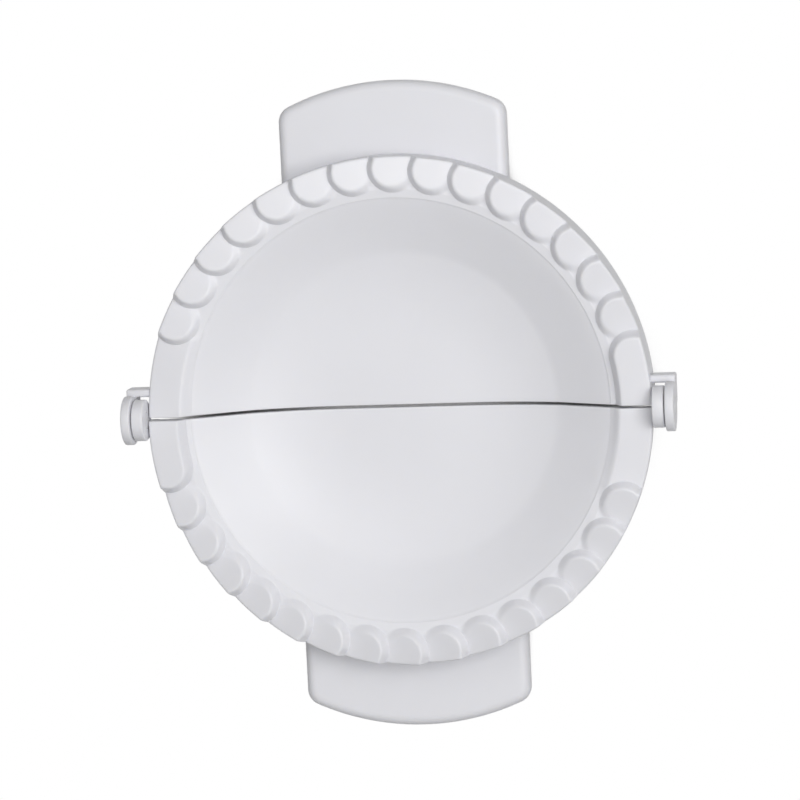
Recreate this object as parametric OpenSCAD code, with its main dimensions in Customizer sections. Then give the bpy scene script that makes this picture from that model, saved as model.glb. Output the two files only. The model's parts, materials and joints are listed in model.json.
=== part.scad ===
// Empanada press, shown opened out flat.
// Two moulded half bowls are joined by a pin hinge at each end of their straight edges.
// X runs along the hinge, Y points to the upper half's handle and Z points up.
// The origin lies under the middle of the hinge, on the surface that the bowls stand on.

/* [Rim] */
// Outer radius of the round crimping rim
rim_r = 75.6; // [66:0.2:90]
// Width of the rim, from the bowl's edge to the outside
rim_w = 12.6; // [11.6:0.1:14]
// Thickness of the rim under the lowest part of its leaves
rim_t = 2; // [1.6:0.1:3]

/* [Crimping leaves] */
// Number of leaves on each half
leaf_count = 16; // [12:1:18]
// Angle between the first and the last leaf's steep edge, in degrees
leaf_span = 144.4; // [140:0.2:150]
// Height of each leaf's steep edge over the next leaf
leaf_rise = 3.6; // [2:0.2:4.4]
// Radius of each leaf's round edge, seen from above
leaf_r = 7.4; // [7.2:0.1:8]
// Plain band left between the leaves and the bowl's edge
leaf_band = 1.7; // [1:0.1:2.4]
// Height of the plain rim's end over or under the middle level at the straight edge
end_rise = 0.6; // [0.2:0.1:0.9]
// Sideways clearance between the leaves' steep edges when the press is closed
leaf_gap = 0.3; // [0.2:0.1:0.6]
// Gap left between the two crimping faces when the press is closed
press_gap = 0.6; // [0.4:0.1:1.5]

/* [Bowl] */
// Depth of the bowl under the hinge axis
bowl_depth = 17.5; // [15:0.5:24]
// Wall thickness of the bowl
wall = 2.5; // [1.6:0.1:3.2]
// Width in plan of the sloping wall, from the bowl's edge to the crease
wall_run = 16.2; // [13:0.1:20]
// Height of the crease over the bowl's floor
dish_h = 4.9; // [3:0.1:6]
// Radius of the flat middle of the floor
floor_r = 20; // [12:1:25]

/* [Skirt] */
// Thickness of the skirt round the rim's outside
skirt_t = 2.2; // [1.6:0.1:3]
// Depth of the upper half's skirt under the hinge axis
upper_skirt = 14; // [10:0.5:14.5]
// Depth of the lower half's skirt under the hinge axis
lower_skirt = 6; // [5.6:0.1:12]

/* [Handle] */
// Width of each handle
handle_w = 68.6; // [50:0.2:80]
// Length of each handle past the rim
handle_reach = 21.7; // [16:0.1:34]
// Depth of the handle's top face under the hinge axis
handle_drop = 13.9; // [12:0.1:14.5]
// Thickness of the handle's plate
handle_t = 2.4; // [2:0.1:3]
// Height of the handle's turned down edge
handle_lip = 5; // [4:0.1:5.4]
// Radius of the handle's curved end
handle_arc = 76; // [60:1:110]
// Radius of the handle's corners in plan
handle_corner = 5; // [3:0.5:9]

/* [Hinge] */
// Width of the slit between the two halves
slit = 0.9; // [0.6:0.1:1.4]
// Radius of the lower half's hinge knuckles
knuckle_r = 6.2; // [5.4:0.1:7]
// Width of each knuckle along the hinge
knuckle_w = 3.5; // [3:0.1:5]
// Side clearance on each side of a knuckle
knuckle_gap = 0.3; // [0.2:0.1:0.6]
// Thickness of the upper half's ears
ear_t = 2.7; // [2.4:0.1:4]
// How far an ear's round end stands past the knuckle
ear_over = 1.1; // [0.6:0.1:1.8]
// Thickness of the arm that carries an ear
arm_t = 2.4; // [2:0.1:3]
// Gap between an arm and the knuckle it passes
arm_gap = 0.4; // [0.3:0.1:0.8]
// Height of the arm
arm_h = 7; // [5:0.5:8]
// Diameter of the hinge pins
pin_d = 5; // [3.5:0.1:6]
// Radial clearance of the pins in their bores
pin_clear = 0.06; // [0.04:0.01:0.09]
// How far a pin's outer end stands out of its ear
pin_proud = 0.2; // [0:0.1:0.6]

/* [Hidden] */
$fn = 96;
plastic = [0.91, 0.91, 0.92];
pin_plastic = [0.86, 0.86, 0.87];
// Overlap that joins two solids of one moulding
bond = 0.5;
// Small step that keeps joined faces from lying in one surface
tuck = 0.05;
// Height of the hinge axis over the surface
axis_h = bowl_depth + wall;
// Inner radius of the rim, which is the bowl's edge
bowl_r = rim_r - rim_w;
// Middle level of the leaves
mid_z = -press_gap / 2;
// Angle from one leaf to the next
pitch = leaf_span / (leaf_count - 1);
// Distance of a leaf's centre from the axis, and the angle from its steep tip to its centre
leaf_c = bowl_r + leaf_band + leaf_r;
leaf_turn = asin(leaf_r / leaf_c) + leaf_gap / (2 * rim_r) * 180 / PI;
// Angle of the first leaf's steep edge from the straight edge
end_angle = (180 - leaf_span) / 2;
// Tilt of a leaf, as a slope along the rim
leaf_slope = leaf_rise / (2 * rim_r * sin(pitch / 2));
// Slope of the rim's two ends towards the straight edge
end_slope = (leaf_rise / 2 - end_rise) / (rim_r * sin(end_angle));
// Level of the ring that carries the leaves, just under the lowest of them
ring_z = mid_z - leaf_rise * 0.75;
ring_bottom = ring_z - rim_t;
// The bowl's wall and its dished floor
crease_r = bowl_r - wall_run;
crease_z = dish_h - bowl_depth;
wall_angle = atan2(ring_z - crease_z, wall_run);
dish_run = crease_r - floor_r;
dish_r = (dish_run * dish_run + dish_h * dish_h) / (2 * dish_h);
dish_angle = asin(dish_run / dish_r);
dish_steps = 8;
// Depth of the outer wall at the rim, where it meets the ring
wall_foot = [
    crease_r + wall * sin(wall_angle),
    crease_z - wall * cos(wall_angle)
];
wall_head_r = wall_foot[0] + (ring_bottom - wall_foot[1]) / tan(wall_angle);
// Places along the hinge
knuckle_x = rim_r + knuckle_gap;
ear_x = knuckle_x + knuckle_w + knuckle_gap;
ear_r = knuckle_r + ear_over;
arm_y = knuckle_r + arm_gap;
arm_top = ring_z + bond;
// Size of a block larger than the press, used for cutting
big = 2 * (rim_r + handle_reach);

// A point of the dished floor, at a part of its angle, pushed out by grow
function dish_point(part, grow) = [
    floor_r + (dish_r + grow) * sin(part * dish_angle),
    dish_r - bowl_depth - (dish_r + grow) * cos(part * dish_angle)
];

// Section of the bowl, the ring under the leaves and the skirt, for turning round Z
module half_section(skirt_depth) {
    floor_in = [for (i = [dish_steps : -1 : 0]) dish_point(i / dish_steps, 0)];
    floor_out = [for (i = [0 : dish_steps]) dish_point(i / dish_steps, wall)];
    rim_top = [[rim_r, ring_z], [bowl_r, ring_z]];
    rim_under = [
        wall_foot,
        [wall_head_r, ring_bottom],
        [rim_r - skirt_t, ring_bottom],
        [rim_r - skirt_t, -skirt_depth],
        [rim_r, -skirt_depth]
    ];
    polygon(concat(
        rim_top,
        floor_in,
        [[0, -bowl_depth], [0, -axis_h]],
        floor_out,
        rim_under
    ));
}

// Plan of one leaf's round outline
module leaf_circle(angle, radius) {
    rotate(angle - leaf_turn)
        translate([leaf_c, 0])
            circle(r = radius);
}

// Plan of one leaf, with the next leaf's outline taken out of its sunk side
module leaf_plan(angle) {
    intersection() {
        circle(r = rim_r - tuck);
        difference() {
            leaf_circle(angle, leaf_r);
            leaf_circle(angle - pitch, leaf_r - 2 * tuck);
        }
    }
}

// Upright prism on a plan, tall enough for any leaf
module leaf_prism() {
    translate([0, 0, ring_z - bond])
        linear_extrude(height = 2 * leaf_rise)
            children();
}

// Block under a plane through the Z axis, turned round Z and tilted to a slope
module under_plane(level, turn, slope) {
    translate([0, 0, level])
        rotate([0, 0, turn])
            rotate([atan(slope), 0, 0])
                translate([0, -big / 4, -big / 4])
                    cube([big / 2, big / 2, big / 4]);
}

// One leaf: a tilted disc, high at its steep edge and sunk at the other
module leaf(angle) {
    intersection() {
        leaf_prism() leaf_plan(angle);
        under_plane(mid_z, angle - pitch / 2, leaf_slope);
    }
}

// Long last leaf, which runs on to the straight edge and falls gently to it
module end_leaf() {
    centre = end_angle - leaf_turn;
    intersection() {
        leaf_prism()
            intersection() {
                circle(r = rim_r - tuck);
                translate([0, tuck]) square(big);
                union() {
                    leaf_circle(end_angle, leaf_r);
                    difference() {
                        polygon([[0, 0], [big, 0], [big * cos(centre), big * sin(centre)]]);
                        circle(r = bowl_r + leaf_band + 2 * tuck);
                    }
                }
            }
        under_plane(mid_z + end_rise, 0, end_slope);
    }
}

// Plain end of the rim, lower than the long leaf, which lies over it in the closed press
module plain_end() {
    start = 180 - end_angle - leaf_turn;
    intersection() {
        leaf_prism()
            intersection() {
                circle(r = rim_r - tuck);
                translate([-big, tuck]) square(big);
                difference() {
                    polygon([[0, 0], [-big, 0], [big * cos(start), big * sin(start)]]);
                    circle(r = bowl_r + leaf_band / 2);
                }
            }
        under_plane(mid_z - end_rise, 180, end_slope);
    }
}

// Half bowl with its crimping rim and skirt, on the side of positive Y
module half_shell(skirt_depth) {
    intersection() {
        rotate_extrude() half_section(skirt_depth);
        translate([-big / 2, 0, -big / 2])
            cube([big, big, big]);
    }
    end_leaf();
    plain_end();
    for (i = [1 : leaf_count - 1])
        leaf(end_angle + i * pitch);
}

// Plan of the handle with its curved end, drawn in by a margin on all sides
module handle_plan(margin) {
    half_w = handle_w / 2 - margin;
    end_r = handle_arc - margin;
    corner = handle_corner - margin / 2;
    arc_y = rim_r + handle_reach - handle_arc;
    corner_x = half_w - corner;
    corner_y = arc_y + sqrt(pow(end_r - corner, 2) - pow(corner_x, 2));
    reach = big / corner_y;
    translate([-half_w, 0])
        square([2 * half_w, corner_y]);
    for (side = [-1, 1])
        translate([side * corner_x, corner_y])
            circle(r = corner);
    intersection() {
        translate([0, arc_y])
            circle(r = end_r);
        polygon([
            [0, arc_y],
            [reach * corner_x, arc_y + reach * (corner_y - arc_y)],
            [-reach * corner_x, arc_y + reach * (corner_y - arc_y)]
        ]);
    }
}

// Handle: a plate with a turned down edge and a curved wall up to the rim
module handle() {
    top = -handle_drop;
    difference() {
        translate([0, 0, top - handle_lip])
            linear_extrude(height = handle_lip)
                handle_plan(0);
        translate([0, 0, top - handle_lip - bond])
            linear_extrude(height = handle_lip - handle_t + bond)
                handle_plan(handle_t);
        translate([0, 0, -big / 2])
            cylinder(r = rim_r - skirt_t / 2, h = big);
    }
    intersection() {
        difference() {
            translate([0, 0, top - handle_lip])
                cylinder(r = rim_r, h = handle_drop + handle_lip + ring_bottom + bond);
            translate([0, 0, -big / 2])
                cylinder(r = rim_r - skirt_t, h = big);
        }
        translate([-handle_w / 2, 0, -big / 2])
            cube([handle_w, big, big]);
    }
}

// Cylinder along X from one place to another, about the hinge axis
module along_hinge(from_x, to_x, radius) {
    translate([from_x, 0, 0])
        rotate([0, 90, 0])
            cylinder(r = radius, h = to_x - from_x);
}

// Right ear: a round plate about the hinge axis, squared off where its arm joins
module ear() {
    difference() {
        union() {
            along_hinge(ear_x, ear_x + ear_t, ear_r);
            translate([ear_x, 0, arm_top - arm_h])
                cube([ear_t, arm_y + arm_t, arm_h]);
            translate([rim_r - skirt_t, arm_y, arm_top - arm_h])
                cube([ear_x + ear_t / 2 - rim_r + skirt_t, arm_t, arm_h]);
        }
        along_hinge(ear_x - bond, ear_x + ear_t + bond, pin_d / 2 + pin_clear);
    }
}

// Right knuckle: a short barrel, joined to the lower half's rim on its lower side
module knuckle() {
    difference() {
        union() {
            along_hinge(knuckle_x, knuckle_x + knuckle_w, knuckle_r);
            intersection() {
                along_hinge(rim_r - skirt_t, knuckle_x + bond, knuckle_r);
                translate([rim_r - skirt_t, -knuckle_r - bond, -knuckle_r - bond])
                    cube([big, knuckle_r + bond - slit / 2, knuckle_r + bond + arm_top]);
            }
        }
        along_hinge(knuckle_x - bond, ear_x, pin_d / 2 + pin_clear);
    }
}

// Copies of a right hand piece at both ends of the hinge
module at_both_ends() {
    children();
    mirror([1, 0, 0]) children();
}

// Upper half, with the two ears
module upper_half() {
    color(plastic)
        translate([0, 0, axis_h])
            union() {
                translate([0, slit / 2, 0]) {
                    half_shell(upper_skirt);
                    handle();
                }
                at_both_ends() ear();
            }
}

// Lower half, with the two knuckles
module lower_half() {
    color(plastic)
        translate([0, 0, axis_h])
            union() {
                rotate([0, 0, 180])
                    translate([0, slit / 2, 0]) {
                        half_shell(lower_skirt);
                        handle();
                    }
                at_both_ends() knuckle();
            }
}

// Right hinge pin, through the ear and the knuckle
module hinge_pin() {
    along_hinge(knuckle_x, ear_x + ear_t + pin_proud, pin_d / 2);
}

module right_hinge_pin() {
    color(pin_plastic)
        translate([0, 0, axis_h])
            hinge_pin();
}

module left_hinge_pin() {
    color(pin_plastic)
        translate([0, 0, axis_h])
            mirror([1, 0, 0]) hinge_pin();
}

upper_half();
lower_half();
left_hinge_pin();
right_hinge_pin();
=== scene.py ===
# %% [markdown]
# # Empanada press, opened out flat
# The object is a folding hand press of white moulded plastic. Two half bowls meet at a
# straight edge and turn on a pin at each end of it. A ring of overlapping leaves round the
# rim crimps the dough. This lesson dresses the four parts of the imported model: each plain
# solid is replaced by a smooth mesh with the rounded edges that a moulding has.

import json
import math

import bmesh
import bpy
import numpy as np
from mathutils import Matrix, Vector


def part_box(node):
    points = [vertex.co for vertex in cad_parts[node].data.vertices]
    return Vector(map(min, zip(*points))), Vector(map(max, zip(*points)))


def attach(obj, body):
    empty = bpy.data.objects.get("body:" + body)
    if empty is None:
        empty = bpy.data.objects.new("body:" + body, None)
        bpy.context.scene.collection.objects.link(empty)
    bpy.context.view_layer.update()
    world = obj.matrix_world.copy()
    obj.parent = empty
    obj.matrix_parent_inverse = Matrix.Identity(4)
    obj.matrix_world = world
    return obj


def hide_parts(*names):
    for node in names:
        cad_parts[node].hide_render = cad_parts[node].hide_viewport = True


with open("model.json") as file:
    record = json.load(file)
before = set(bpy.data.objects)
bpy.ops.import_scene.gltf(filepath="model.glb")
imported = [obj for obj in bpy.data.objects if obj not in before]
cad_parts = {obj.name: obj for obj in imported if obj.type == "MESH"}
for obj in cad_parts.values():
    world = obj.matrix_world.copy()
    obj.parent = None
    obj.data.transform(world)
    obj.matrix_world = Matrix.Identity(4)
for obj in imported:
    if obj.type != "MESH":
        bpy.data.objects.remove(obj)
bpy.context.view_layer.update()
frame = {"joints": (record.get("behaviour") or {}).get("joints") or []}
MM = 0.001

# %% [markdown]
# ## Sizes
# Every size is in millimetres and means one thing on the real press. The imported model
# already fixes some places, such as the hinge axis, the pins and the reach of the handles,
# so those are read from it. Heights are measured from the hinge axis, because both halves
# are made in the same pose and one of them is then turned round.

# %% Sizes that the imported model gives
HINGE = Vector(frame["joints"][0]["pos_m"]) / MM
AXIS_H = HINGE.z
PIN_LOW, PIN_HIGH = (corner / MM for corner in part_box("right_hinge_pin"))
PIN_R = (PIN_HIGH.z - PIN_LOW.z) / 2
HALF_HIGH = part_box("upper_half")[1] / MM
HANDLE_TIP = HALF_HIGH.y
EAR_OUT = HALF_HIGH.x
print(f"axis {AXIS_H:.2f}, pin radius {PIN_R:.2f}, handle tip {HANDLE_TIP:.2f}, ears {2 * EAR_OUT:.2f}")

# %% Sizes of the moulded halves
SLIT = 0.9
RIM_R = 75.6
RIM_W = 12.6
RIM_T = 2.0
LEAF_COUNT = 16
LEAF_SPAN = 144.4
LEAF_RISE = 3.6
LEAF_R = 7.4
LEAF_BAND = 1.7
END_RISE = 0.6
LEAF_GAP = 0.3
PRESS_GAP = 0.6
WALL = 2.5
BOWL_DEPTH = AXIS_H - WALL
WALL_RUN = 16.2
DISH_H = 4.9
FLOOR_R = 20.0
SKIRT_T = 2.2
SKIRT_DEPTH = {"upper_half": 14.0, "lower_half": 6.0}

# %% Sizes that follow from them
BOWL_R = RIM_R - RIM_W
MID_Z = -PRESS_GAP / 2
PITCH = LEAF_SPAN / (LEAF_COUNT - 1)
LEAF_C = BOWL_R + LEAF_BAND + LEAF_R
LEAF_IN = LEAF_C - LEAF_R
LEAF_TURN = math.degrees(math.asin(LEAF_R / LEAF_C) + LEAF_GAP / (2 * RIM_R))
END_ANGLE = (180 - LEAF_SPAN) / 2
LEAF_SLOPE = LEAF_RISE / (2 * RIM_R * math.sin(math.radians(PITCH / 2)))
END_SLOPE = (LEAF_RISE / 2 - END_RISE) / (RIM_R * math.sin(math.radians(END_ANGLE)))
RING_Z = MID_Z - LEAF_RISE * 0.75
RING_BOTTOM = RING_Z - RIM_T
CREASE_R = BOWL_R - WALL_RUN
CREASE_Z = DISH_H - BOWL_DEPTH
DISH_RUN = CREASE_R - FLOOR_R
DISH_R = (DISH_RUN**2 + DISH_H**2) / (2 * DISH_H)
print(f"{LEAF_COUNT} leaves, one every {PITCH:.3f} degrees, {LEAF_RISE} mm high at the steep edge")

# %% [markdown]
# ## The shape of a moulded surface
# A mould tool leaves no knife edges: every step between two faces has a small radius, and
# light runs along it. So the face of the rim is a height for each place in plan, and the
# faces in it are joined by smooth slopes instead of cuts. The rim falls a little outwards,
# and the narrow band inside the leaves leans into the bowl.

# %% Smooth joins between faces
LEAF_ROUND = 2.3
RIM_LEAN = 0.05
BAND_LEAN = 0.18
BAND_LEAN_R = BOWL_R + LEAF_BAND + 1
BOWL_EDGE_Z = RING_Z - BAND_LEAN * (BAND_LEAN_R - BOWL_R)
WALL_SLOPE = (BOWL_EDGE_Z - CREASE_Z) / WALL_RUN
END_ROUND = 3.4
PLAIN_SOFT = 2.2


def smooth_step(distance, half_width):
    """0 on one side of an edge and 1 on the other, with a smooth slope between them."""
    part = np.clip(distance / (2 * half_width) + 0.5, 0, 1)
    return part * part * (3 - 2 * part)


def dome(distance, width):
    """0 at an edge, then a steep rise that bends over to a level 1 inside it."""
    return np.sin(np.clip(distance / width, 0, 1) ** 1.2 * np.pi / 2)


def soft_lower(a, b, width):
    """The lower of two heights, rounded off where they cross."""
    near = np.clip(width - np.abs(a - b), 0, None) / width
    return np.minimum(a, b) - near * near * width / 4


def soft_higher(a, b, width):
    """The higher of two heights, rounded off where they cross."""
    return -soft_lower(-a, -b, width)


# %% [markdown]
# ## Crimping leaves
# Each leaf is a coin of plastic on the band round the bowl, tilted so that its leading
# edge stands proud. Seen from above it shows as a scallop, because the rim cuts off its
# outer half and the leaf before it covers its low side. Its round edge falls in a curve to
# whatever is beside it, so it is steep at the tip and fades where the leaf is low. The two
# ends of the rim differ: one carries a long leaf that runs on to the straight edge, and
# the other is plain, to take the long leaf of the other half when the press shuts.

# %% Height of the rim's face
def leaf_cover(x, y, turn):
    """Distance inside a leaf's round outline. turn is the angle of its steep tip."""
    centre = np.radians(turn - LEAF_TURN)
    return LEAF_R - np.hypot(x - LEAF_C * np.cos(centre), y - LEAF_C * np.sin(centre))


def end_leaf_cover(x, y):
    """Distance inside the outline of the long leaf at the start of the rim."""
    past_centre = np.degrees(np.arctan2(y, x)) > END_ANGLE - LEAF_TURN
    inner_edge = np.hypot(x, y) - LEAF_IN
    return np.where(past_centre, leaf_cover(x, y, END_ANGLE), inner_edge)


def leaf_plane(x, y, turn):
    """Height of a leaf's tilted face, which crosses the middle level half a pitch back."""
    level_line = np.radians(turn - PITCH / 2)
    return MID_Z + LEAF_SLOPE * (y * np.cos(level_line) - x * np.sin(level_line))


def with_leaf(z, cover, plane):
    """Surface with one more leaf on it, whose round edge falls to what is beside it."""
    return z + (plane - z) * dome(cover, LEAF_ROUND)


def rim_face(x, y, leaves, long_end=False, plain_end=False):
    """Height of the rim's face, with the given leaves laid from the last one to the first."""
    r = np.hypot(x, y)
    z = RING_Z - BAND_LEAN * np.clip(BAND_LEAN_R - r, 0, None)
    if plain_end:
        plain_start = np.radians(180 - END_ANGLE - LEAF_TURN)
        past = y * np.cos(plain_start) - x * np.sin(plain_start)
        inside = smooth_step(r - BOWL_R - END_ROUND / 2, END_ROUND / 2)
        cover = smooth_step(past - PLAIN_SOFT, PLAIN_SOFT) * inside
        z += cover * (MID_Z - END_RISE - END_SLOPE * y - z)
    for index in leaves:
        turn = END_ANGLE + index * PITCH
        z = with_leaf(z, leaf_cover(x, y, turn), leaf_plane(x, y, turn))
    if long_end:
        z = with_leaf(z, end_leaf_cover(x, y), MID_Z + END_RISE + END_SLOPE * y)
    return z - RIM_LEAN * np.clip(r - BAND_LEAN_R, 0, None)


# %% [markdown]
# ## Bowl
# The bowl is a cone that runs down from the rim to a crease, and inside the crease a
# shallow dish with a flat middle. The crease and the bowl's edge are rounded a little.
# Where the cone and the rim's face cross, the lower of the two is the surface.

# %% Height of the inside of a half
CREASE_SOFT = 0.25
BOWL_EDGE_SOFT = 1.1
BEYOND_EDGE_SLOPE = 4


def dish_height(r):
    """Height of the dished floor, which is flat in the middle."""
    across = np.clip(r - FLOOR_R, 0, None)
    return DISH_R - BOWL_DEPTH - np.sqrt(DISH_R**2 - across**2)


def bowl_height(r):
    """Height of the dish and the cone, which goes on up past the bowl's edge."""
    cone = BOWL_EDGE_Z + WALL_SLOPE * (r - BOWL_R)
    inside = soft_higher(dish_height(np.minimum(r, CREASE_R + 3)), cone, CREASE_SOFT)
    return inside + BEYOND_EDGE_SLOPE * np.clip(r - BOWL_R, 0, None)


def top_height(r, theta, **ends):
    """Height of the top of a half at a radius and an angle in radians."""
    x = r * np.cos(theta)
    y = r * np.sin(theta)
    return soft_lower(rim_face(x, y, **ends), bowl_height(r), BOWL_EDGE_SOFT)


# %% [markdown]
# ## One section, turned round the bowl
# A half is a skin with an inside and an outside. Its mesh is a grid: the columns are
# sections through the wall, and the rows run round the bowl. Each row has a fixed place in
# the section, listed here from the middle of the floor, over the rim, down the skirt and
# back under the bowl. Rows lie close together where the surface turns quickly.

# %% Rows of the section
HUB_R = 12.0
EDGE_R = 0.7
FOOT_R = 0.4
CORNER_R = 0.5
NEAR_CREASE = 1.6
NEAR_EDGE = 0.8
LEAF_FIRST, LEAF_LAST = 38, 106


def spread(start, end, count):
    """Evenly spaced values after start, up to and including end."""
    return list(np.linspace(start, end, count + 1)[1:])


def quarter(turns):
    """Pairs of 1 - sine and 1 - cosine for turns in degrees, which draw a rounded edge."""
    return [(1 - math.sin(turn), 1 - math.cos(turn)) for turn in np.radians(turns)]


def leaf_row(turn):
    """Radius of a leaf's round edge at a turn in degrees about the leaf's middle."""
    return LEAF_C - LEAF_R * math.cos(math.radians(turn))


def top_rows():
    """Radii from the hub to the rim. Across the leaves they follow the round edges."""
    rows = [HUB_R] + spread(HUB_R, FLOOR_R, 2)
    rows += spread(FLOOR_R, CREASE_R - NEAR_CREASE, 9)
    rows += spread(CREASE_R - NEAR_CREASE, CREASE_R + NEAR_CREASE, 8)
    rows += spread(CREASE_R + NEAR_CREASE, BOWL_R - NEAR_EDGE, 6)
    rows += spread(BOWL_R - NEAR_EDGE, LEAF_IN, 9)
    rows += spread(LEAF_IN, leaf_row(LEAF_FIRST), 11)
    return rows + [leaf_row(turn) for turn in spread(LEAF_FIRST, LEAF_LAST, 14)]


def under_rows(skirt_depth):
    """The skirt's bottom and inside and the underside of the ring and bowl, as (r, z)."""
    inside_r = RIM_R - SKIRT_T
    rows = []
    for by_sine, by_cosine in quarter(spread(0, 90, 4)):
        rows.append((RIM_R - FOOT_R * by_cosine, -skirt_depth + FOOT_R * by_sine))
    for by_sine, by_cosine in quarter([0] + spread(0, 90, 4)):
        rows.append((inside_r + FOOT_R * by_sine, -skirt_depth + FOOT_R * by_cosine))
    for by_sine, by_cosine in quarter([0] + spread(0, 90, 5)):
        rows.append((inside_r - CORNER_R * by_cosine, RING_BOTTOM - CORNER_R * by_sine))
    lean = math.atan(WALL_SLOPE)
    foot = (CREASE_R + WALL * math.sin(lean), CREASE_Z - WALL * math.cos(lean))
    head_r = foot[0] + (RING_BOTTOM - foot[1]) / WALL_SLOPE
    rows += [(r, RING_BOTTOM) for r in spread(inside_r - CORNER_R, head_r + 0.6, 2)]
    rows += [(head_r, RING_BOTTOM - 0.12), (head_r - 0.5, RING_BOTTOM - 0.5 * WALL_SLOPE - 0.03)]
    for r in spread(head_r - 0.5, foot[0] + 0.8, 4):
        rows.append((r, foot[1] + (r - foot[0]) * WALL_SLOPE))
    dish_edge = math.asin(DISH_RUN / DISH_R)
    for turn in np.linspace(dish_edge - 0.01, 0, 9):
        r = FLOOR_R + (DISH_R + WALL) * math.sin(turn)
        rows.append((r, DISH_R - BOWL_DEPTH - (DISH_R + WALL) * math.cos(turn)))
    return rows + [(HUB_R, -AXIS_H)]


TOP_ROWS = np.array(top_rows())
UNDER_COUNT = len(under_rows(SKIRT_DEPTH["upper_half"]))
print(f"{len(TOP_ROWS)} rows on top and {UNDER_COUNT} below")

# %% [markdown]
# ## Columns that follow the leaves
# A grid of straight spokes would cut across the curved steep edges and leave them ragged.
# So each column leans back as it comes in from the rim, along the same arc as a leaf's
# edge, and the steep slopes lie between columns from end to end. Near the straight edges
# the lean fades out, so the last column lies flat in the parting face.

# %% Lean of the columns
ARC_END = 20
LEAN_START, LEAN_FULL = 3.0, 13.0


def edge_angle(r):
    """Half the angle that a leaf's outline spans at a radius, in degrees."""
    cosine = (r**2 + LEAF_C**2 - LEAF_R**2) / (2 * r * LEAF_C)
    return np.degrees(np.arccos(np.clip(cosine, -1, 1)))


def lean(r):
    """How far back a column lies at a radius, in degrees."""
    followed = np.maximum(r, leaf_row(ARC_END))
    return math.degrees(math.asin(LEAF_R / LEAF_C)) - edge_angle(np.minimum(followed, RIM_R))


def column_angle(r, phi):
    """Angle round the bowl, in radians, of the column that starts at phi on the rim."""
    fade = np.minimum(phi - LEAN_START, 180 - LEAN_START - phi) / (LEAN_FULL - LEAN_START)
    return np.radians(phi - lean(r) * np.clip(fade, 0, 1))


# %% [markdown]
# ## Building a sheet of the shell
# A sheet is a stretch of columns with all their rows. Over the rim's outer edge the rows
# turn through a quarter circle, then run down the skirt, whatever height the leaf has
# there, so the scalloped rim shows on the outside too.

# %% Points of the shell
WALL_STEPS = 7
EDGE_TURNS = np.radians(spread(0, 90, 5))
FLAT_R = RIM_R - EDGE_R


def shell_points(phis, skirt_depth, **ends):
    """Grid of points, column by column, for columns that start at the angles phis."""
    phi = np.asarray(phis, float)[:, None]
    r = np.append(TOP_ROWS, FLAT_R)[None, :] + 0 * phi
    theta = column_angle(r, phi)
    z = top_height(r, theta, **ends)
    edge_z = z[:, -1:]
    edge_theta = theta[:, -1:]
    turned_r = FLAT_R + EDGE_R * np.sin(EDGE_TURNS)[None, :]
    turned_z = edge_z - EDGE_R * (1 - np.cos(EDGE_TURNS))[None, :]
    parts = np.linspace(0, 1, WALL_STEPS + 1)[None, 1:]
    wall_z = (edge_z - EDGE_R) * (1 - parts) + (FOOT_R - skirt_depth) * parts
    under = np.array(under_rows(skirt_depth))
    wall_r = np.full_like(wall_z, RIM_R)
    all_r = np.hstack([r, turned_r + 0 * phi, wall_r, under[:, 0][None, :] + 0 * phi])
    all_z = np.hstack([z, turned_z, wall_z, under[:, 1][None, :] + 0 * phi])
    wall_theta = edge_theta + np.zeros_like(np.hstack([turned_z, wall_z]))
    under_theta = column_angle(under[:, 0][None, :] + 0 * phi, phi)
    all_theta = np.hstack([theta, wall_theta, under_theta])
    return np.stack([all_r * np.cos(all_theta), all_r * np.sin(all_theta), all_z], axis=-1)


def grid_faces(columns, rows, start=0):
    """Four sided faces between neighbouring columns, facing out of the wall."""
    faces = []
    for c in range(columns - 1):
        for row in range(rows - 1):
            corner = start + c * rows + row
            faces.append((corner, corner + 1, corner + rows + 1, corner + rows))
    return faces


def make_mesh(name, points, faces):
    """A mesh object from points in millimetres."""
    mesh = bpy.data.meshes.new(name)
    mesh.from_pydata((np.asarray(points).reshape(-1, 3) * MM).tolist(), [], faces)
    mesh.validate()
    piece = bpy.data.objects.new(name, mesh)
    bpy.context.scene.collection.objects.link(piece)
    return piece


# %% [markdown]
# ## One leaf's share of the rim
# Fourteen of the leaves are alike, each with its slice of rim, skirt and bowl. One slice is
# modelled, from half a pitch before a steep edge to half a pitch after it, with its columns
# crowded on the steep slope. Geometry Nodes then set the copies round the bowl.

# %% One slice and its columns
ROUND_SHARE = LEAF_ROUND / (RIM_R * math.radians(PITCH))
STEEP_COLUMNS = [-1.1 * ROUND_SHARE * part**1.5 for part in np.linspace(1, 0, 15)]
AFTER_EDGE = 0.012
SLICE_COLUMNS = [-0.5] + spread(-0.5, STEEP_COLUMNS[0], 7) + STEEP_COLUMNS[1:]
SLICE_COLUMNS += [AFTER_EDGE] + spread(AFTER_EDGE, 0.5, 14)


def slice_angles(index):
    return [END_ANGLE + (index + share) * PITCH for share in SLICE_COLUMNS]


def leaf_slice(skirt_depth):
    """The slice that holds the steep edge of leaf 1, with like leaves on both sides."""
    points = shell_points(slice_angles(1), skirt_depth, leaves=[2, 1, 0])
    rows = points.shape[1]
    return make_mesh("leaf_slice", points, grid_faces(len(SLICE_COLUMNS), rows))


# %% [markdown]
# ## The two ends, the parting face and the hub
# What isn't repeated is one more mesh: a sheet at each end of the rim, the flat face where
# the halves part, and the middle of the floor. The parting face has a small radius all
# round. It is made by drawing the last section in along its own normals while it steps out
# to the face, and one more loop inside it keeps the flat face flat when it is shaded.

# %% The ends of a half
PART_R = 0.3
PART_LOOPS = [(1.25, 0.0)] + quarter([0, 22.5, 45, 67.5, 90])
FIRST_COLUMN = 1.6
OWN_COLUMNS = 14.0


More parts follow.
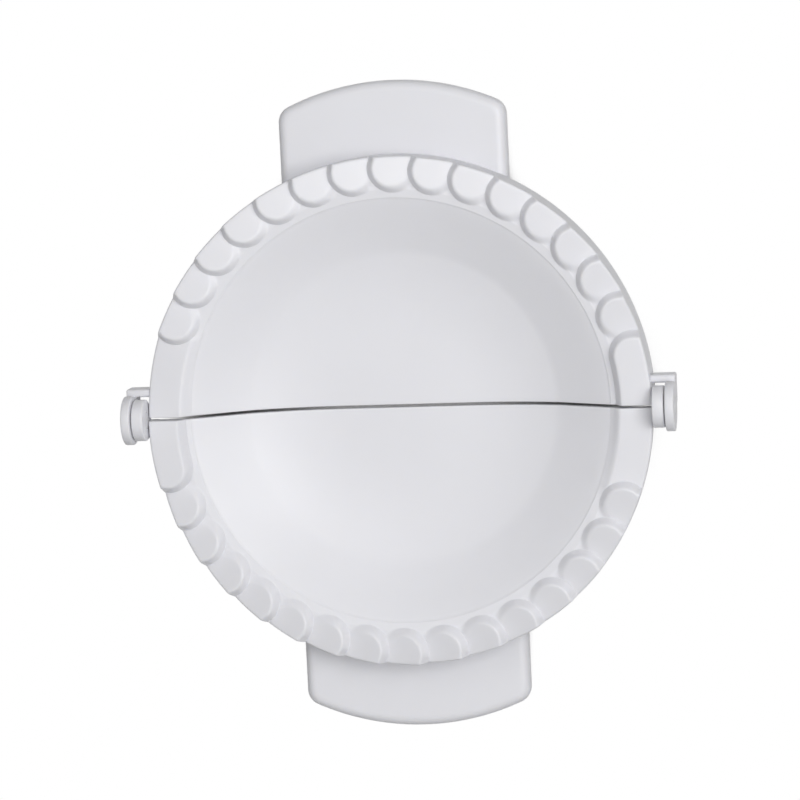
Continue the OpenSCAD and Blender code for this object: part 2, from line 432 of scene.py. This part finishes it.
def inset_directions(section):
    """Unit vectors that point into the wall at each point of a section, as (r, z)."""
    steps = np.diff(section, axis=0)
    steps /= np.linalg.norm(steps, axis=1)[:, None]
    along = np.vstack([steps[:1], steps[:-1] + steps[1:], steps[-1:]])
    inward = np.stack([along[:, 1], -along[:, 0]], axis=1)
    inward[0] = (0, -1)
    inward[-1] = (0, 1)
    return inward / np.linalg.norm(inward, axis=1)[:, None]


def parting_columns(side, skirt_depth, **ends):
    """The rounded border of the parting face, from the face outwards. side is 1 or -1."""
    phi = 0.0 if side > 0 else 180.0
    edge = shell_points([phi], skirt_depth, **ends)[0]
    section = np.stack([np.abs(edge[:, 0]), edge[:, 2]], axis=1)
    inward = inset_directions(section)
    columns = []
    for inset, out in PART_LOOPS:
        moved = section + inward * inset * PART_R
        y = np.full(len(moved), out * PART_R)
        x = side * np.sqrt(moved[:, 0] ** 2 - y**2)
        columns.append(np.stack([x, y, moved[:, 1]], axis=1))
    return np.array(columns)


def end_sheets(skirt_depth):
    """Both ends of a half with the parting face and the hub, as one open mesh."""
    before_slice = [FIRST_COLUMN, LEAN_START] + spread(LEAN_START, OWN_COLUMNS, 10)
    before_slice += [a for a in slice_angles(0) if a > OWN_COLUMNS]
    after_slice = [a for a in slice_angles(LEAF_COUNT - 1) if a < 180 - OWN_COLUMNS]
    after_slice += spread(180 - OWN_COLUMNS, 180 - LEAN_START, 9) + [180 - FIRST_COLUMN]
    first = {"leaves": [2, 1], "long_end": True}
    last = {"leaves": [LEAF_COUNT - 1, LEAF_COUNT - 2], "plain_end": True}
    right_face = parting_columns(1, skirt_depth, **first)
    left_face = parting_columns(-1, skirt_depth, **last)[::-1]
    right = np.concatenate([right_face, shell_points(before_slice, skirt_depth, **first)])
    left = np.concatenate([shell_points(after_slice, skirt_depth, **last), left_face])
    rows = right.shape[1]
    between = [a for index in range(1, LEAF_COUNT - 1) for a in slice_angles(index)[1:]][:-1]
    middle = shell_points(between, skirt_depth, leaves=[])[:, [0, -1]]
    points = np.concatenate([right.reshape(-1, 3), left.reshape(-1, 3), middle.reshape(-1, 3)])
    left_start = len(right) * rows
    middle_start = left_start + len(left) * rows
    faces = grid_faces(len(right), rows) + grid_faces(len(left), rows, left_start)
    right_edge = list(range(rows))
    left_edge = [left_start + (len(left) - 1) * rows + row for row in range(rows)]
    faces.append(tuple(right_edge[::-1] + left_edge))
    loops = len(PART_LOOPS)
    for loop in range(loops - 1):
        for row, flip in ((0, False), (rows - 1, True)):
            a, b = loop * rows + row, (loop + 1) * rows + row
            c = left_start + (len(left) - 2 - loop) * rows + row
            d = left_start + (len(left) - 1 - loop) * rows + row
            faces.append((a, b, c, d) if not flip else (d, c, b, a))
    for row, flip in ((0, False), (rows - 1, True)):
        ring = [c * rows + row for c in range(loops - 1, len(right))]
        ring += [middle_start + 2 * m + (1 if flip else 0) for m in range(len(middle))]
        ring += [left_start + c * rows + row for c in range(len(left) - loops + 1)]
        faces.append(tuple(ring if not flip else ring[::-1]))
    return make_mesh("end_sheets", points, faces)


# %% [markdown]
# ## Geometry Nodes set the slices round the bowl
# The node tree takes the ends as its geometry and the slice as an object. It makes one
# point for each slice, turns each by its share of the pitch, puts the slice on all of them
# and joins them to the ends. Merging by distance then welds the borders into one skin.

# %% A small function for every node
def add_node(tree, kind, links=None, **settings):
    """Adds a node. settings are its properties, and links maps inputs to values or sockets."""
    node = tree.nodes.new(kind)
    for name, value in settings.items():
        setattr(node, name, value)
    for key, value in (links or {}).items():
        socket = node.inputs[key]
        if isinstance(value, bpy.types.NodeSocket):
            tree.links.new(value, socket)
        else:
            socket.default_value = value
    return node


# %% The tree that repeats the slice
def slice_tree():
    tree = bpy.data.node_groups.new("slices_round_the_rim", "GeometryNodeTree")
    tree.is_modifier = True
    sockets = [
        ("Ends", "NodeSocketGeometry"),
        ("Slice", "NodeSocketObject"),
        ("Slice Count", "NodeSocketInt"),
        ("Pitch", "NodeSocketFloat"),
        ("Weld Distance", "NodeSocketFloat"),
        ("Plastic", "NodeSocketMaterial"),
    ]
    for name, kind in sockets:
        tree.interface.new_socket(name, in_out="INPUT", socket_type=kind)
    tree.interface.new_socket("Shell", in_out="OUTPUT", socket_type="NodeSocketGeometry")
    given = tree.nodes.new("NodeGroupInput").outputs
    index = add_node(tree, "GeometryNodeInputIndex")
    turn = add_node(
        tree, "ShaderNodeMath", {0: index.outputs[0], 1: given["Pitch"]}, operation="MULTIPLY"
    )
    about_z = add_node(tree, "ShaderNodeCombineXYZ", {"Z": turn.outputs[0]})
    rotation = add_node(tree, "FunctionNodeEulerToRotation", {0: about_z.outputs[0]})
    points = add_node(tree, "GeometryNodePoints", {"Count": given["Slice Count"]})
    source = add_node(tree, "GeometryNodeObjectInfo", {"Object": given["Slice"]})
    placed = add_node(
        tree,
        "GeometryNodeInstanceOnPoints",
        {
            "Points": points.outputs[0],
            "Instance": source.outputs["Geometry"],
            "Rotation": rotation.outputs[0],
        },
    )
    joined = add_node(tree, "GeometryNodeJoinGeometry")
    tree.links.new(placed.outputs[0], joined.inputs[0])
    tree.links.new(given["Ends"], joined.inputs[0])
    real = add_node(tree, "GeometryNodeRealizeInstances", {0: joined.outputs[0]})
    welded = add_node(
        tree, "GeometryNodeMergeByDistance", {0: real.outputs[0], "Distance": given["Weld Distance"]}
    )
    painted = add_node(
        tree, "GeometryNodeSetMaterial", {0: welded.outputs[0], "Material": given["Plastic"]}
    )
    result = tree.nodes.new("NodeGroupOutput")
    tree.links.new(painted.outputs[0], result.inputs[0])
    return tree


SLICE_TREE = slice_tree()


# %% Run the tree and keep a plain mesh
WELD = 0.002


def set_input(modifier, name, value):
    """Sets a modifier's input by its socket's identifier."""
    for item in modifier.node_group.interface.items_tree:
        if item.name == name and item.in_out == "INPUT":
            modifier[item.identifier] = value
            return
    raise KeyError(name)


def plain_mesh(piece, name):
    """A plain mesh object from a piece with its modifiers, which is then removed."""
    shown = piece.evaluated_get(bpy.context.evaluated_depsgraph_get())
    mesh = bpy.data.meshes.new_from_object(shown)
    mesh.name = name
    result = bpy.data.objects.new(name, mesh)
    bpy.context.scene.collection.objects.link(result)
    bpy.data.objects.remove(piece)
    return result


def open_edges(piece):
    """How many edges don't have exactly two faces."""
    test = bmesh.new()
    test.from_mesh(piece.data)
    count = sum(1 for edge in test.edges if len(edge.link_faces) != 2)
    test.free()
    return count


def face_outwards(piece):
    """Turns every face of a closed mesh outwards."""
    fix = bmesh.new()
    fix.from_mesh(piece.data)
    bmesh.ops.recalc_face_normals(fix, faces=fix.faces)
    fix.to_mesh(piece.data)
    fix.free()


def half_shell(skirt_depth, plastic):
    """Bowl, leaves, rim and skirt of one half, about the middle of its rim."""
    slice_piece = leaf_slice(skirt_depth)
    ends = end_sheets(skirt_depth)
    modifier = ends.modifiers.new("slices", "NODES")
    modifier.node_group = SLICE_TREE
    set_input(modifier, "Slice", slice_piece)
    set_input(modifier, "Slice Count", LEAF_COUNT - 2)
    set_input(modifier, "Pitch", math.radians(PITCH))
    set_input(modifier, "Weld Distance", WELD * MM)
    set_input(modifier, "Plastic", plastic)
    shell = plain_mesh(ends, "half_shell")
    bpy.data.objects.remove(slice_piece)
    face_outwards(shell)
    print(f"shell: {len(shell.data.polygons)} faces, {open_edges(shell)} open edges")
    return shell


# %% [markdown]
# ## Lofted parts
# The handle, the hinge ears and the knuckles are closed outlines that are stretched along
# an axis, with rounded edges. One function joins a list of loops with four sided faces
# and closes both ends, so each part is a closed solid that can be fused to the shell.

# %% Loft a solid through loops
CAP_INSET = 1.6


def loft(name, loops):
    """A closed solid through loops of points, the first and last of which are capped."""
    count = len(loops[0])
    faces = []
    for ring in range(len(loops) - 1):
        for i in range(count):
            j = (i + 1) % count
            a, b = ring * count, (ring + 1) * count
            faces.append((a + i, a + j, b + j, b + i))
    faces.append(tuple(range(count))[::-1])
    faces.append(tuple((len(loops) - 1) * count + i for i in range(count)))
    piece = make_mesh(name, np.concatenate(loops), faces)
    face_outwards(piece)
    return piece


def drawn_in(outline, inset):
    """A closed outline drawn in by an inset, along the normals of its points."""
    outline = np.asarray(outline, float)
    before = outline - np.roll(outline, 1, axis=0)
    after = np.roll(outline, -1, axis=0) - outline
    before /= np.linalg.norm(before, axis=1)[:, None]
    after /= np.linalg.norm(after, axis=1)[:, None]
    normal = np.stack([-(before + after)[:, 1], (before + after)[:, 0]], axis=1)
    length = np.linalg.norm(normal, axis=1)[:, None]
    miter = 1 / np.clip(np.sum(before * after, axis=1) * 0.5 + 0.5, 0.3, 1) ** 0.5
    return outline + normal / length * (inset * miter)[:, None]


def rounded_bar(name, outline, start, end, edge, place):
    """A bar along an axis. outline runs anticlockwise, and place puts (u, v, along) in space."""
    steps = [(CAP_INSET, 0)] + quarter([0, 30, 60, 90])
    loops = [(inset, start + out * edge) for inset, out in steps]
    loops += [(inset, end - out * edge) for inset, out in steps[::-1]]
    rings = []
    for inset, along in loops:
        flat = drawn_in(outline, inset * edge)
        rings.append(np.array([place(u, v, along) for u, v in flat]))
    return loft(name, rings)


# %% [markdown]
# ## Fusing
# A moulding is one piece of plastic, so the handle and hinge parts are fused to the shell
# with the Manifold solver, which is quick on closed meshes. The bores are cut the same way.

# %% Fuse and cut solids
def combine(base, other, operation):
    """base with other fused to it or cut from it. other is used up."""
    modifier = base.modifiers.new(operation, "BOOLEAN")
    modifier.operation = operation
    modifier.solver = "MANIFOLD"
    modifier.object = other
    result = plain_mesh(base, base.name)
    bpy.data.objects.remove(other)
    return result


# %% [markdown]
# ## Handle
# Each handle is a shallow tray turned upside down: a plate with a turned down edge, open
# underneath. Its sides and corners are rounded generously, as they are in the hand. At
# the root a wall of the same curve as the rim carries the plate up to the ring.

# %% Sizes of the handle
HANDLE_W = 68.6
HANDLE_REACH = HANDLE_TIP - SLIT / 2 - RIM_R
HANDLE_TOP = -13.9
HANDLE_T = 2.4
HANDLE_LIP = 5.0
HANDLE_ARC = 76.0
HANDLE_CORNER = 5.0
HANDLE_EDGE = 3.0
TRAY_EDGE = 1.2
ROOT_R = RIM_R - SKIRT_T / 2


# %% Outline of the handle
def arc(centre, radius, start, end, count):
    """Points on an arc, in plan. Angles are in degrees."""
    turns = np.radians(np.linspace(start, end, count + 1))
    return [(centre[0] + radius * math.cos(t), centre[1] + radius * math.sin(t)) for t in turns]


def handle_outline(margin):
    """Plan of the handle, drawn in by a margin except at its root, anticlockwise."""
    half_w = HANDLE_W / 2 - margin
    end_r = HANDLE_ARC - margin
    corner = HANDLE_CORNER - margin / 2
    arc_y = RIM_R + HANDLE_REACH - HANDLE_ARC
    corner_x = half_w - corner
    corner_y = arc_y + math.sqrt((end_r - corner) ** 2 - corner_x**2)
    corner_turn = math.degrees(math.atan2(corner_y - arc_y, corner_x))
    root_turn = math.degrees(math.acos(half_w / ROOT_R))
    root_y = ROOT_R * math.sin(math.radians(root_turn))
    side = [(half_w, y) for y in np.linspace(root_y, corner_y, 9)[1:-1]]
    right = side + arc((corner_x, corner_y), corner, 0, corner_turn, 8)
    end = arc((0, arc_y), end_r, corner_turn, 180 - corner_turn, 36)[1:-1]
    left = [(-x, y) for x, y in right[::-1]]
    root = arc((0, 0), ROOT_R, 180 - root_turn, root_turn, 36)
    return right + end + left + root


def handle():
    """The handle's plate and turned down edge, hollow underneath."""
    bottom = HANDLE_TOP - HANDLE_LIP
    under = HANDLE_TOP - HANDLE_T
    loops = [(HANDLE_EDGE + 0.5, HANDLE_TOP)]
    for by_sine, by_cosine in quarter(np.linspace(0, 90, 8)):
        loops.append((HANDLE_EDGE * by_sine, HANDLE_TOP - HANDLE_EDGE * by_cosine))
    small = quarter(np.linspace(0, 90, 5))
    loops += [(FOOT_R * by_cosine, bottom + FOOT_R * by_sine) for by_sine, by_cosine in small]
    for by_sine, by_cosine in small:
        loops.append((HANDLE_T - FOOT_R * by_sine, bottom + FOOT_R * by_cosine))
    for by_sine, by_cosine in small:
        loops.append((HANDLE_T + TRAY_EDGE * by_cosine, under - TRAY_EDGE * by_sine))
    loops.append((HANDLE_T + TRAY_EDGE + 0.5, under))
    rings = [np.array([(x, y, z) for x, y in handle_outline(margin)]) for margin, z in loops]
    return loft("handle", rings)


def root_wall():
    """Curved wall under the rim, as deep as the handle's edge."""
    inner, outer = RIM_R - SKIRT_T, RIM_R
    turn_in = math.degrees(math.acos(HANDLE_W / 2 / inner))
    turn_out = math.degrees(math.acos(HANDLE_W / 2 / outer))
    outline = arc((0, 0), outer, turn_out, 180 - turn_out, 60)
    outline += arc((0, 0), inner, 180 - turn_in, turn_in, 60)
    bottom, top = HANDLE_TOP - HANDLE_LIP, RING_BOTTOM + 0.5
    return rounded_bar("root_wall", outline, bottom, top, FOOT_R, lambda u, v, z: (u, v, z))


# %% [markdown]
# ## Hinge
# The upper half has an ear at each end, held out by an arm that passes the lower half's
# knuckle. A pin goes through both. Ears and knuckles are outlines in the YZ plane that
# are stretched along the hinge, so one function places them on either side.

# %% Sizes of the hinge
KNUCKLE_X0 = PIN_LOW.x
KNUCKLE_R = 6.2
KNUCKLE_W = 3.5
EAR_T = 2.7
EAR_X0 = EAR_OUT - EAR_T
EAR_R = 7.3
ARM_Y = 6.6
ARM_T = 2.4
ARM_H = 7.0
ARM_TOP = RING_Z + 0.5
BORE_R = PIN_R + 0.06
HINGE_EDGE = 0.45
HINGE_CORNER = 0.8
BORE_EDGE = 0.1
PIN_EDGE = 0.3
ROUND_STEPS = 64
WEB_BACK = SLIT / 2 + 0.1


# %% Parts of the hinge
def circle(radius, count=72):
    """Points on a circle about the hinge axis."""
    return arc((0, 0), radius, 0, 360, count)[:-1]


def box_corner(u, v, turn):
    """A rounded corner that points to a quarter, given by the angle where it starts."""
    middle = math.radians(turn + 45)
    back = HINGE_CORNER * math.sqrt(2)
    centre = (u - back * math.cos(middle), v - back * math.sin(middle))
    return arc(centre, HINGE_CORNER, turn, turn + 90, 5)


def on_side(side):
    """Places (y, z, x) of an outline along the hinge, on the right (1) or the left (-1)."""
    return lambda y, z, x: (side * x, y, z)


def bore(side, start, end):
    """The hole for the pin, as a solid to cut away."""
    return rounded_bar("bore", circle(BORE_R, ROUND_STEPS), start, end, BORE_EDGE, on_side(side))


def ear(side):
    """An ear with its arm, bored for the pin."""
    low, far = ARM_TOP - ARM_H, ARM_Y + ARM_T
    far_side = box_corner(far, low, 270) + box_corner(far, ARM_TOP, 0)
    top_turn = math.degrees(math.asin(ARM_TOP / EAR_R))
    outline = box_corner(0, low, 180) + far_side + arc((0, 0), EAR_R, top_turn, 270, 60)
    plate = rounded_bar("ear", outline, EAR_X0, EAR_OUT, HINGE_EDGE, on_side(side))
    bar = far_side + box_corner(ARM_Y, ARM_TOP, 90) + box_corner(ARM_Y, low, 180)
    arm = rounded_bar("arm", bar, RIM_R - SKIRT_T, EAR_X0 + EAR_T / 2, HINGE_EDGE, on_side(side))
    solid = combine(plate, arm, "UNION")
    return combine(solid, bore(side, EAR_X0 - 1, EAR_OUT + 1), "DIFFERENCE")


def knuckle(side):
    """A knuckle, joined to the rim on its lower side and bored for the pin."""
    start, end = KNUCKLE_X0, KNUCKLE_X0 + KNUCKLE_W
    barrel = rounded_bar("knuckle", circle(KNUCKLE_R), start, end, HINGE_EDGE, on_side(side))
    low = math.degrees(math.acos(WEB_BACK / KNUCKLE_R))
    high = math.degrees(math.asin(-ARM_TOP / KNUCKLE_R))
    web = arc((0, 0), KNUCKLE_R - 0.02, 180 + high, 180 + low, 20)
    web += [(-WEB_BACK, z) for z in np.linspace(-KNUCKLE_R + 0.3, ARM_TOP, 5)[:-1]]
    web += [(y, ARM_TOP) for y in np.linspace(-WEB_BACK, web[0][0], 5)[:-1]]
    root = rounded_bar("web", web, RIM_R - SKIRT_T, start + 1, 0.2, on_side(side))
    solid = combine(barrel, root, "UNION")
    return combine(solid, bore(side, start - 0.4, end + 1), "DIFFERENCE")


def hinge_pin(side):
    """A plain pin with rounded ends."""
    outline = circle(PIN_R, ROUND_STEPS)
    return rounded_bar("pin", outline, PIN_LOW.x, PIN_HIGH.x, PIN_EDGE, on_side(side))


# %% [markdown]
# ## Materials
# The press is injection moulded polypropylene, white and glossy. What gives it away is a
# soft, slightly milky white, a broad highlight, and a surface that isn't quite flat, since
# the plastic shrinks unevenly as it cools. The pins are the same plastic with a duller
# surface.

# %% Colours
FLOW_SIZE = 30.0
GRAIN_SIZE = 6.0
GLOSS_SPREAD = 0.05
MILKY_DEPTH = 1.5


def linear(code):
    """A linear colour from an sRGB hex value."""
    values = [int(code[i : i + 2], 16) / 255 for i in (1, 3, 5)]
    curve = [v / 12.92 if v <= 0.04045 else ((v + 0.055) / 1.055) ** 2.4 for v in values]
    return (*curve, 1.0)


def moulded_plastic(name, pale, shade, roughness, ripple_mm):
    """White polypropylene. ripple_mm is the height of the flow ripples in its surface."""
    material = bpy.data.materials.new(name)
    material.use_nodes = True
    tree = material.node_tree
    tree.nodes.clear()
    place = add_node(tree, "ShaderNodeTexCoord").outputs["Object"]
    links = {"Vector": place, "Scale": 1 / (FLOW_SIZE * MM), "Detail": 2}
    flow = add_node(tree, "ShaderNodeTexNoise", links)
    colour = add_node(
        tree,
        "ShaderNodeMix",
        {"Factor": flow.outputs["Fac"], "A": linear(pale), "B": linear(shade)},
        data_type="RGBA",
    )
    links = {"Vector": place, "Scale": 1 / (GRAIN_SIZE * MM), "Detail": 3}
    grain = add_node(tree, "ShaderNodeTexNoise", links)
    gloss = add_node(
        tree,
        "ShaderNodeMapRange",
        {
            "Value": grain.outputs["Fac"],
            "To Min": roughness - GLOSS_SPREAD,
            "To Max": roughness + GLOSS_SPREAD,
        },
    )
    ripple = add_node(
        tree,
        "ShaderNodeBump",
        {"Height": flow.outputs["Fac"], "Distance": ripple_mm * MM, "Strength": 1.0},
    )
    shader = add_node(
        tree,
        "ShaderNodeBsdfPrincipled",
        {
            "Base Color": colour.outputs["Result"],
            "Roughness": gloss.outputs[0],
            "Normal": ripple.outputs[0],
            "IOR": 1.49,
            "Subsurface Weight": 0.3,
            "Subsurface Radius": (1.0, 0.95, 0.85),
            "Subsurface Scale": MILKY_DEPTH * MM,
        },
    )
    out = add_node(tree, "ShaderNodeOutputMaterial")
    tree.links.new(shader.outputs[0], out.inputs["Surface"])
    return material


GLOSSY_POLYPROPYLENE = moulded_plastic("glossy_polypropylene", "#E8E8EC", "#E5E5E9", 0.4, 0.12)
SATIN_POLYPROPYLENE = moulded_plastic("satin_polypropylene", "#E6E6E8", "#E2E2E4", 0.45, 0.05)


# %% [markdown]
# ## Putting a half together
# Both halves are made with their straight edge along X and their bowl towards +Y. The
# circle of the rim starts half a slit away from the hinge line. The lower half is the same
# moulding turned half way round Z, with a shallower skirt and knuckles instead of ears.

# %% Assemble and place
SMOOTH_LIMIT = math.radians(32)


def settle(piece, name):
    """Names a finished piece, lifts it to the hinge axis and smooths its round faces."""
    piece.data.transform(Matrix.Translation((0, 0, AXIS_H * MM)))
    piece.name = name
    piece.data.name = name
    piece.data.shade_smooth()
    piece.data.set_sharp_from_angle(angle=SMOOTH_LIMIT)
    triangles = sum(len(face.vertices) - 2 for face in piece.data.polygons)
    print(f"{name}: {triangles} triangles, {open_edges(piece)} open edges")


def moulded_half(node):
    """One half with its handle, without its hinge parts, in its own place."""
    solid = half_shell(SKIRT_DEPTH[node], GLOSSY_POLYPROPYLENE)
    solid = combine(solid, root_wall(), "UNION")
    solid = combine(solid, handle(), "UNION")
    solid.data.transform(Matrix.Translation((0, SLIT / 2 * MM, 0)))
    if node == "lower_half":
        solid.data.transform(Matrix.Rotation(math.pi, 4, "Z"))
    return solid


def finish_piece(piece, name, node, body, material):
    """Gives a piece its material and tells the frame what it stands for."""
    settle(piece, name)
    piece.data.materials.clear()
    piece.data.polygons.foreach_set("material_index", [0] * len(piece.data.polygons))
    piece.data.materials.append(material)
    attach(piece, body)
    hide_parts(node)


# %% Make the four parts
for node, hinge_part in (("upper_half", ear), ("lower_half", knuckle)):
    half = moulded_half(node)
    for side in (1, -1):
        half = combine(half, hinge_part(side), "UNION")
    finish_piece(half, node + "_moulding", node, node, GLOSSY_POLYPROPYLENE)
for side, node in ((1, "right_hinge_pin"), (-1, "left_hinge_pin")):
    pin = hinge_pin(side)
    finish_piece(pin, node + "_moulding", node, "lower_half", SATIN_POLYPROPYLENE)

# %% [markdown]
# ## Floor, light and camera
# The floor and the world look white to the camera. Where little open sky is above the floor,
# as under the slit, ambient occlusion swaps the white for the lit grey paint, so the press's
# real shadow shows there together with painted shade. The main lamp stands high on the right
# with a weak one behind the press, so the edges of the upper leaves are dark and those of the lower
# leaves are bright.

# %% Floor and world
FLOOR_PAINT = "#808080"
SHADE_REACH = 40.0
SHADE_START, SHADE_END = 0.2, 0.42
FILL_LOW, FILL_HIGH = 0.04, 0.5
FILL_START, FILL_END = 0.1, 0.75
FLOOR_HALF = 4.0
WHITE = (1, 1, 1, 1)


def seen_directly(tree):
    """1 for rays from the camera and for their reflections, 0 for rays that light things."""
    path = add_node(tree, "ShaderNodeLightPath").outputs
    links = {0: path["Is Camera Ray"], 1: path["Is Glossy Ray"]}
    seen = add_node(tree, "ShaderNodeMath", links, operation="MAXIMUM")
    links = {0: seen.outputs[0], 1: path["Is Transmission Ray"]}
    return add_node(tree, "ShaderNodeMath", links, operation="MAXIMUM")


def pale_floor():
    """A wide floor that is white to the camera, with painted shade from ambient occlusion near the
    press, where its real shadow also shows.
    """
    mesh = bpy.data.meshes.new("floor")
    size = FLOOR_HALF
    corners = [(-size, -size, 0), (size, -size, 0), (size, size, 0), (-size, size, 0)]
    mesh.from_pydata(corners, [], [(0, 1, 2, 3)])
    floor = bpy.data.objects.new("floor", mesh)
    bpy.context.scene.collection.objects.link(floor)
    material = bpy.data.materials.new("pale_floor")
    material.use_nodes = True
    tree = material.node_tree
    tree.nodes.clear()
    seen = seen_directly(tree)
    # Painted shade: where ambient occlusion finds little open sky, the camera sees the grey paint
    # instead of the white glow.
    open_sky = add_node(tree, "ShaderNodeAmbientOcclusion", {"Distance": SHADE_REACH * MM}, samples=12)
    bright = add_node(
        tree,
        "ShaderNodeMapRange",
        {"Value": open_sky.outputs["AO"], "From Min": SHADE_START, "From Max": SHADE_END},
        interpolation_type="SMOOTHSTEP",
    )
    links = {0: seen.outputs[0], 1: bright.outputs[0]}
    share = add_node(tree, "ShaderNodeMath", links, operation="MULTIPLY")
    paint = add_node(tree, "ShaderNodeBsdfDiffuse", {"Color": linear(FLOOR_PAINT)})
    glow = add_node(tree, "ShaderNodeEmission", {"Color": WHITE, "Strength": 1.0})
    links = {0: share.outputs[0], 1: paint.outputs[0], 2: glow.outputs[0]}
    mix = add_node(tree, "ShaderNodeMixShader", links)
    out = add_node(tree, "ShaderNodeOutputMaterial")
    tree.links.new(mix.outputs[0], out.inputs["Surface"])
    mesh.materials.append(material)


def white_world():
    """A white surrounding that lights the press weakly, and more from above."""
    world = bpy.data.worlds.new("studio")
    bpy.context.scene.world = world
    world.use_nodes = True
    tree = world.node_tree
    tree.nodes.clear()
    seen = seen_directly(tree)
    place = add_node(tree, "ShaderNodeTexCoord").outputs["Generated"]
    height = add_node(tree, "ShaderNodeSeparateXYZ", {0: place}).outputs["Z"]
    level = add_node(
        tree,
        "ShaderNodeMapRange",
        {
            "Value": height,
            "From Min": FILL_START,
            "From Max": FILL_END,
            "To Min": FILL_LOW,
            "To Max": FILL_HIGH,
        },
        interpolation_type="SMOOTHSTEP",
    )
    fill = add_node(tree, "ShaderNodeBackground", {"Color": WHITE, "Strength": level.outputs[0]})
    white = add_node(tree, "ShaderNodeBackground", {"Color": WHITE, "Strength": 1.0})
    links = {0: seen.outputs[0], 1: fill.outputs[0], 2: white.outputs[0]}
    mix = add_node(tree, "ShaderNodeMixShader", links)
    out = add_node(tree, "ShaderNodeOutputWorld")
    tree.links.new(mix.outputs[0], out.inputs["Surface"])


pale_floor()
white_world()


# %% Lamps
LAMP_SIZE = 0.8
LAMP_AIM = Vector((0, 0, 0.01))


def soft_lamp(name, place, power):
    """A square area lamp that faces the middle of the press."""
    light = bpy.data.lights.new(name, "AREA")
    light.shape = "SQUARE"
    light.size = LAMP_SIZE
    light.energy = power
    lamp = bpy.data.objects.new(name, light)
    lamp.location = place
    lamp.rotation_euler = (LAMP_AIM - Vector(place)).to_track_quat("-Z", "Y").to_euler()
    bpy.context.scene.collection.objects.link(lamp)


soft_lamp("main_lamp", (0.68, 0.22, 1.2), 10.2)
soft_lamp("back_lamp", (-0.1, 0.7, 1.25), 1.7)

# %% [markdown]
# ## Camera
# The camera stands where the photograph was taken from. Its direction, roll and distance
# were worked out once from the outline of the real press, on the plane of the rim.

# %% Camera
VIEW_ACROSS = 0.163
VIEW_UP = 0.125
VIEW_ROLL = -0.048
VIEW_FOCAL = 3383.0
VIEW_TARGET = Vector((1.13, 4.02, AXIS_H))
VIEW_DISTANCE = 1000.0
PHOTO_SIZE = 800
SENSOR = 36.0


def photo_camera():
    """The camera, placed by the angles, distance and target above."""
    towards = Vector(
        (
            math.sin(VIEW_ACROSS) * math.cos(VIEW_UP),
            math.sin(VIEW_UP),
            math.cos(VIEW_ACROSS) * math.cos(VIEW_UP),
        )
    )
    right = (-towards).cross(Vector((0, 1, 0))).normalized()
    up = right.cross(-towards)
    right_rolled = right * math.cos(VIEW_ROLL) + up * math.sin(VIEW_ROLL)
    up_rolled = up * math.cos(VIEW_ROLL) - right * math.sin(VIEW_ROLL)
    data = bpy.data.cameras.new("photo_camera")
    data.sensor_width = SENSOR
    data.sensor_fit = "HORIZONTAL"
    data.lens = VIEW_FOCAL / PHOTO_SIZE * SENSOR
    camera = bpy.data.objects.new("photo_camera", data)
    turn = Matrix((right_rolled, up_rolled, towards)).transposed().to_4x4()
    camera.matrix_world = Matrix.Translation((VIEW_TARGET + towards * VIEW_DISTANCE) * MM) @ turn
    bpy.context.scene.collection.objects.link(camera)
    bpy.context.scene.camera = camera


photo_camera()
bpy.context.scene.view_settings.view_transform = "Standard"
